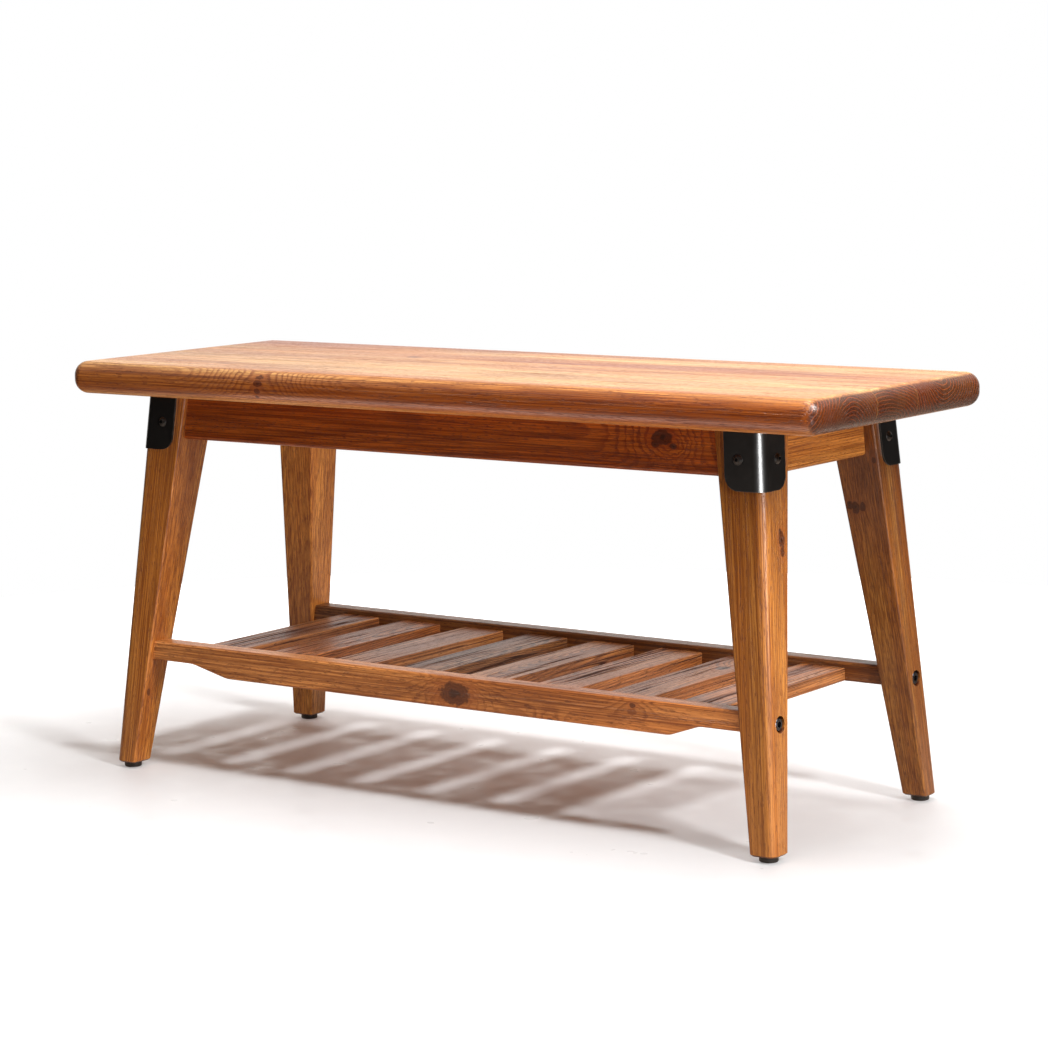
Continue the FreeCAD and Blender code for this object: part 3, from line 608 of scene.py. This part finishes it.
def named(*starts):
    return [thing for node, thing in nodes.items() if node.startswith(starts)]


bench = list(nodes.values())
shelf = named("slat", "rail_front", "rail_back")
legs = named("leg", "foot")
lit_bench = group("lit_bench", bench + [bounce])
lit_seat = group("lit_seat", named("seat_board"))
lit_low = group("lit_low", legs + shelf + named("apron_right"))
lit_side = group("lit_side", legs + named("apron_right"))
lit_rail = group("lit_rail", named("rail_front", "leg_front_left", "leg_back_left"))
lit_shelf = group("lit_shelf", shelf + named("leg_back_left"))
lit_metal = group("lit_metal", named("bracket_front", "bracket_back", "rail_bolts"))
lit_floor = group("lit_floor", [floor, mirror])
shade_bench = group("shade_bench", bench)
shade_shelf = group("shade_shelf", [thing for thing in shelf if thing is not nodes["slat_8"]])
shade_low = group("shade_low", legs + shelf)
shade_none = group("shade_none", [bounce])


def softbox(name, place, size, power, lit, shade, colour=WHITE, target=TARGET):
    """A lamp of size metres and power watts at place, which lights only lit and is blocked only by shade."""
    data = bpy.data.lights.new(name, "AREA")
    data.shape = "RECTANGLE"
    data.size, data.size_y = size
    data.energy = power
    data.color = colour
    lamp = bpy.data.objects.new(name, data)
    lamp.location = place
    lamp.rotation_euler = (target - Vector(place)).to_track_quat("-Z", "Y").to_euler()
    lamp.light_linking.receiver_collection = lit
    lamp.light_linking.blocker_collection = shade
    scene.collection.objects.link(lamp)


def toward(way, reach, base=SHELF_LEVEL):
    """The point reach metres from base, the way that way points."""
    return base + Vector(way).normalized() * reach


# Lamps for the bench
softbox("key", (1.60, -0.45, 2.15), (1.1, 1.1), 112, lit_bench, shade_bench, (1.0, 0.985, 0.96))
softbox("over_seat", (0.15, 0.10, 1.95), (1.2, 0.7), 15.5, lit_seat, shade_bench)
softbox("under_seat", (0.0, -0.36, 0.06), (1.1, 0.15), 1.9, lit_seat, shade_none,
        (1.0, 0.82, 0.72), Vector((0.0, -0.18, 0.42)))
softbox("strip", toward(STRIP_WAY, 1.75), (0.35, 0.8), 3.2, lit_bench, shade_bench)
softbox("side_low", toward((1.0, -0.18, 0.20), 2.0), (0.5, 0.5), 8.5, lit_low, shade_bench)
softbox("side_high", (0.95, -0.20, 0.42), (0.25, 0.25), 1.3, lit_side, shade_bench,
        WHITE, Vector((0.40, 0.0, 0.30)))
softbox("strip_rail", toward((0.50, -0.85, 0.10), 2.0), (0.6, 0.6), 13, lit_rail, shade_bench)
softbox("shelf_key", toward((1.0, -0.16, 0.75), 2.2), (0.6, 0.6), 34, lit_shelf, shade_low)
softbox("strip_metal", toward(STRIP_WAY, 1.75, METAL_LEVEL), (0.60, 0.9), 110, lit_metal, shade_bench)

# Lamps for the floor
softbox("floor_shelf", toward((1.10, -0.30, 1.0), 3.8), (0.36, 0.36), 58, lit_floor, shade_shelf)
softbox("floor_legs", toward((1.11, -0.38, 1.0), 3.8), (0.40, 0.40), 52, lit_floor, shade_low)
softbox("floor_fill", (0.03, 0.14, 2.0), (1.4, 1.4), 37, lit_floor, shade_bench)
softbox("floor_glow", (-0.10, 0.13, 0.35), (0.8, 0.3), 0.34, lit_floor, shade_none,
        (1.0, 0.56, 0.42), Vector((-0.10, 0.13, 0.0)))

# The room: a bright wall behind, a dim roof, warmer where it lights than where it mirrors,
# and plain white where the camera sees it
WALL_WAY = (-0.57, 0.82, 0.0)
WALL_DIM, WALL_BRIGHT = 0.02, 1.2
ROOF_MIRRORED = 0.75
ROOF_DIFFUSE_CUT = -0.55
TINT_MIRRORED = (1.0, 0.97, 0.93)
TINT_DIFFUSE = (0.80, 0.56, 0.40)
world = bpy.data.worlds.new("studio")
scene.world = world
world.use_nodes = True
net = Net(world.node_tree)
way = net.node("ShaderNodeTexCoord").outputs["Generated"]
path = net.node("ShaderNodeLightPath")
diffuse = path.outputs["Is Diffuse Ray"]
seen = path.outputs["Is Camera Ray"]
wall = net.step(net.vector("DOT_PRODUCT", way, WALL_WAY), 0.60, 0.95, WALL_DIM, WALL_BRIGHT)
roof = net.math("MULTIPLY_ADD", diffuse, ROOF_DIFFUSE_CUT, ROOF_MIRRORED)
high = net.step(net.split(way)[2], 0.25, 0.60)
level = net.math("ADD", net.math("MULTIPLY", wall, net.math("SUBTRACT", 1.0, high)),
                 net.math("MULTIPLY", high, roof))
level = net.math("ADD", net.math("MULTIPLY", level, net.math("SUBTRACT", 1.0, seen)), seen)
tint = net.mix(TINT_MIRRORED, TINT_DIFFUSE, diffuse)
tint = net.mix(tint, WHITE, seen)
background = net.node("ShaderNodeBackground")
net.put(background.inputs["Color"], tint)
net.put(background.inputs["Strength"], level)
out = net.node("ShaderNodeOutputWorld")
net.tree.links.new(background.outputs[0], out.inputs["Surface"])

# ---------------------------------------------------------------- camera

AZIMUTH, ELEVATION, ROLL = (math.radians(a) for a in (34.871, 7.880, -0.670))
EYE = (1.8756, -2.6678, 0.7321)
LENS = 106.0
SENSOR_WIDTH = 36.0
ahead = Vector((-math.sin(AZIMUTH) * math.cos(ELEVATION), math.cos(AZIMUTH) * math.cos(ELEVATION),
                -math.sin(ELEVATION)))
level_right = Vector((math.cos(AZIMUTH), math.sin(AZIMUTH), 0.0))
level_up = level_right.cross(ahead)
right = level_right * math.cos(ROLL) + level_up * math.sin(ROLL)
upward = level_up * math.cos(ROLL) - level_right * math.sin(ROLL)
data = bpy.data.cameras.new("camera")
data.sensor_width = SENSOR_WIDTH
data.lens = LENS
data.dof.use_dof = False
camera = bpy.data.objects.new("camera", data)
attitude = Matrix((right, upward, -ahead)).transposed().to_4x4()
camera.matrix_world = Matrix.Translation(EYE) @ attitude
scene.collection.objects.link(camera)
scene.camera = camera

bpy.context.view_layer.update()
